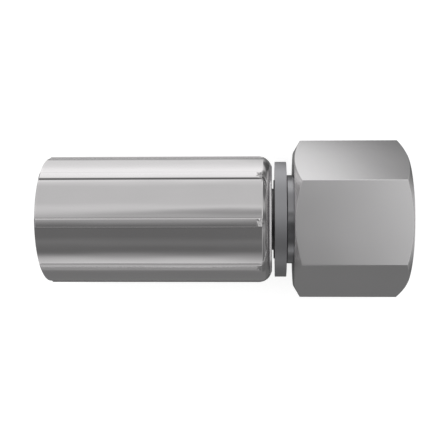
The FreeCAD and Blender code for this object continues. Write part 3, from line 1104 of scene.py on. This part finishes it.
@dataclass
class PaintedReflectionCard:
    """A grey sheet that glows just over the table, as painted reflection: only what the steel mirrors sees
    it, and there it shows as painted shade.

    It is whole on the -Y side and partly clear elsewhere. Each part covers the table by a share, and each
    pair names the places in millimetres along X or Y between which something changes. The mouth's part is cut
    along a slanted line, the back's along a line of -X - Y, and a gap in front of the mouth keeps the table
    white there.
    """

    lift: float = 0.05
    half: Pair = (600.0, 1500.0)
    grey: float = 0.2
    far_grey: float = 0.14
    far_grey_x: Pair = (-15.0, 20.0)
    far_grey_y: Pair = (-150.0, -50.0)
    # Painted shadow: how much darker the sheet is close to the fitting on the -Y side, and where
    near_painted_shadow: float = 0.5
    near_y: Pair = (-20.5, -16.5)
    side_y: Pair = (-12.0, -6.0)
    # Cover close to the fitting on the +Y side: painted shade that the steel reflects
    under_cover: float = 0.5
    under_y: Pair = (17.0, 23.5)
    wide_cover: float = 0.3
    wide_y: Pair = (18.0, 80.0)
    wide_x: Pair = (-24.0, -18.0)
    wide_loss: float = 0.65
    mouth_cover: float = 0.8
    mouth_line: Pair = (-25.5, 11.5)
    mouth_slant: float = 0.47
    mouth_y: float = 47.0
    nut_cover: float = 0.95
    nut_x: Pair = (-24.0, -18.0)
    nut_y: Pair = (28.0, 40.0)
    back_cover: float = 0.8
    back_line: Pair = (57.0, 77.0)
    corner_cover: float = 0.9
    corner_x: Pair = (15.0, 45.0)
    corner_y: Pair = (30.0, 60.0)
    front_gap: float = 0.7
    front_comes: Pair = (15.0, 40.0)
    front_goes: Pair = (60.0, 90.0)
    front_y: Pair = (-70.0, -40.0)

    def after(self, place: Signal, between: Pair) -> Signal:
        """0 before a pair of places in millimetres, 1 past it, and a smooth step between them."""
        return place.graph.ramp(place, between[0] * MM, between[1] * MM)

    def cover(self, x: Signal, y: Signal) -> Signal:
        """Share of the table that the card hides: 1 less the product of what each part leaves open.

        Args:
            x: Place along the axis, in metres.
            y: Place across it, in metres.
        Returns:
            The share, from 0 to 1.
        """
        after = self.after
        wide = self.wide_cover * (1.0 - self.wide_loss * after(x, self.wide_x))
        parts = (
            1.0 - after(y, self.side_y),
            self.under_cover * (1.0 - after(y, self.under_y)) + wide * (1.0 - after(y, self.wide_y)),
            self.mouth_cover * after(x - self.mouth_slant * (y - self.mouth_y * MM), self.mouth_line),
            self.nut_cover * after(x, self.nut_x) * (1.0 - after(y, self.nut_y)),
            self.back_cover * after(0.0 - x - y, self.back_line),
            self.corner_cover * after(x, self.corner_x) * after(y, self.corner_y),
        )
        clear: Number = 1.0
        for part in parts:
            clear = clear * (1.0 - part)
        gap = self.front_gap * after(x, self.front_comes) * (1.0 - after(x, self.front_goes))
        return (1.0 - gap * after(y, self.front_y)) * (1.0 - clear)

    def build(self, table_height: float) -> None:
        """Lays the card on the table.

        Its grey is darker close to the fitting, as a painted shadow of the fitting, and lighter far off on
        the -Y side behind the nut.

        Args:
            table_height: The table's height in metres.
        """
        half = tuple(value * MM for value in self.half)
        card, graph = studio_sheet("painted_reflection_card", half, table_height + self.lift * MM)
        x, y, _ = graph.parts(graph.node("ShaderNodeTexCoord").outputs["Object"])
        far = self.far_grey * (1.0 - self.after(x, self.far_grey_x)) * (1.0 - self.after(y, self.far_grey_y))
        # Painted shadow: the grey is darker close to the fitting
        grey = (self.grey + far) * (1.0 - self.near_painted_shadow * self.after(y, self.near_y))
        clear = graph.node("ShaderNodeBsdfTransparent")
        # The sheet glows in its grey: painted reflection, not a lamp
        dark = graph.shine(grey)
        shaders = {0: self.cover(x, y), 1: clear.outputs[0], 2: dark.outputs[0]}
        mix = graph.node("ShaderNodeMixShader", inputs=shaders)
        graph.show(mix)
        for ray in ("camera", "diffuse", "transmission", "volume_scatter", "shadow"):
            setattr(card, f"visible_{ray}", False)


@dataclass
class Studio:
    """White table under a soft sky: bright on the +Y side, dim overhead and bright low on the -Y side."""

    ambient: float = 0.155
    panels: tuple[SoftPanel, ...] = (
        SoftPanel(0.48, (20.5, 200.0), 6.5, (-62.0, 22.0), 12.0, 0.22),
        SoftPanel(0.40, (78.0, 200.0), 12.0, (-62.0, 22.0), 12.0),
        SoftPanel(0.09, (20.0, 30.0), 5.0, (-62.0, 22.0), 12.0),
        SoftPanel(0.29, (-3.0, 15.0), 8.0, (-62.0, 22.0), 12.0),
        SoftPanel(0.16, (8.0, 20.0), 5.0, (-62.0, -8.0), 10.0),
        SoftPanel(0.04, (-46.0, -34.0), 6.0, (-62.0, 22.0), 12.0),
        SoftPanel(0.12, (-32.0, -2.0), 6.0, (30.0, 62.0), 8.0),
        SoftPanel(0.30, (24.0, 52.0), 8.0, (30.0, 64.0), 10.0),
        SoftPanel(0.57, (-110.0, -71.0), 16.0, (-24.0, 3.5), 9.0),
        SoftPanel(0.74, (-30.0, 30.0), 12.0, (10.2, 31.0), 8.0),
        SoftPanel(0.36, (-100.0, -6.0), 14.0, (-74.0, -38.0), 9.0),
        SoftPanel(0.10, (-100.0, -12.0), 12.0, (46.0, 84.0), 8.0),
        SoftPanel(0.25, (-200.0, 200.0), 1.0, (-120.0, -62.0), 12.0),
        SoftPanel(0.60, (-200.0, 200.0), 1.0, (84.0, 120.0), 6.0),
    )
    table_half: float = 3.0
    table_white: float = 0.42
    table_glow: float = 0.68
    camera_glow: float = 0.74
    lamp_strength: float = 1.7
    lamp_spread: float = 120.0

    def sky(self) -> None:
        """Makes the world: ambient light plus the panels of each direction, and white for the camera."""
        world = bpy.data.worlds.new("soft_sky")
        bpy.context.scene.world = world
        world.use_nodes = True
        graph = Graph(world.node_tree)
        x, y, z = graph.parts(graph.node("ShaderNodeTexCoord").outputs["Generated"])
        across = (y * y + z * z) ** 0.5
        rise, lean = y.turn_from(z), x.turn_from(across)
        light: Number = self.ambient
        for panel in self.panels:
            light = light + panel.light(graph, rise, lean)
        seen = graph.signal(graph.node("ShaderNodeLightPath"), "Is Camera Ray")
        light = light * (1.0 - seen) + seen
        shade = graph.node("ShaderNodeBackground", inputs={"Color": WHITE, "Strength": light})
        graph.node("ShaderNodeOutputWorld", inputs={"Surface": shade.outputs[0]})

    def table(self, height: float) -> None:
        """Makes the white table. A little glow lifts it to white for the camera and in the steel alike.

        Args:
            height: Its height in metres.
        """
        _, graph = studio_sheet("table", (self.table_half, self.table_half), height)
        rays = graph.node("ShaderNodeLightPath")
        mirrored = graph.signal(rays, "Is Glossy Ray") + graph.signal(rays, "Is Transmission Ray")
        share = mirrored * self.table_glow + graph.signal(rays, "Is Camera Ray") * self.camera_glow
        paper = graph.node("ShaderNodeBsdfDiffuse", inputs={"Color": (*(self.table_white,) * 3, 1.0)})
        glow = graph.shine(share)
        both = graph.node("ShaderNodeAddShader", inputs={0: paper.outputs[0], 1: glow.outputs[0]})
        graph.show(both)

    def lamp(self) -> None:
        """Hangs the wide soft lamp over the table, which the steel doesn't mirror."""
        data = bpy.data.lights.new("overhead", "SUN")
        data.angle = math.radians(self.lamp_spread)
        data.energy = self.lamp_strength
        lamp = put_in_scene("overhead", data)
        lamp.visible_glossy = False

    def build(self) -> None:
        """Builds the studio around the fitting: the table lies where the fitting's box ends."""
        height = CAD_BOX[0][2]
        self.sky()
        self.table(height)
        PaintedReflectionCard().build(height)
        self.lamp()
        bpy.context.scene.view_settings.view_transform = "Standard"
        LOG.info("studio: %d panels", len(self.panels))


@dataclass
class PhotoCamera:
    """The photograph's camera: a little off straight down, with its frame shifted towards the shell.

    Its place, lens and sensor are in millimetres, its turn in degrees and its clip distances in metres.
    """

    place: Triple = (-25.050, 7.938, 158.754)
    turn: Triple = (-3.062, 1.883, -0.191)
    lens: float = 64.699
    sensor: float = 36.0
    shift: float = -0.05
    clip: Pair = (0.005, 20.0)

    def build(self) -> None:
        """Makes the camera and hands it to the scene."""
        data = bpy.data.cameras.new("photo_camera")
        data.sensor_width = self.sensor
        data.lens = self.lens
        data.shift_x = self.shift
        data.clip_start, data.clip_end = self.clip
        camera = put_in_scene("photo_camera", data)
        camera.location = tuple(value * MM for value in self.place)
        camera.rotation_euler = tuple(math.radians(value) for value in self.turn)
        bpy.context.scene.camera = camera
        LOG.info("camera: lens %.1f mm for a picture %d pixels wide", self.lens, IMAGE_SIDE)


BRIGHT_STEEL = SteelFinish(
    "bright_drawn_steel", (0.765, 0.75, 0.755), 0.12, Marks.DRAWN, 0.001, wave_height=0.09, dull_matte=0.85
)
SATIN_STEEL = SteelFinish("satin_nut_steel", (0.722, 0.713, 0.718), 0.23, Marks.GROUND, 0.0008)
TURNED_STEEL = SteelFinish("turned_nipple_steel", (0.41, 0.41, 0.425), 0.15, Marks.TURNED, 0.001)
SPRING_STEEL = SteelFinish("spring_wire", (0.55, 0.55, 0.56), 0.2, Marks.TURNED, 0.0006)
SEAL_RUBBER = RubberFinish("seal_rubber")


def main() -> None:
    """Builds the pieces in order, then the studio and the camera."""
    logging.basicConfig(level=logging.INFO, format="%(name)s %(message)s")
    PhotoCamera().build()
    pieces = (
        (CrimpShell(), BRIGHT_STEEL),
        (Nipple(), TURNED_STEEL),
        (SwivelNut(), SATIN_STEEL),
        (ConeSeal(), SEAL_RUBBER),
    )
    for piece, finish in pieces:
        piece.dress(piece.build(), finish)
    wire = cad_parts["retaining_ring"]
    wire.data.materials.clear()
    wire.data.materials.append(SPRING_STEEL.material())
    LOG.info("retaining_ring: the frame's own solid, in spring wire")
    Studio().build()


if __name__ == "__main__":
    main()
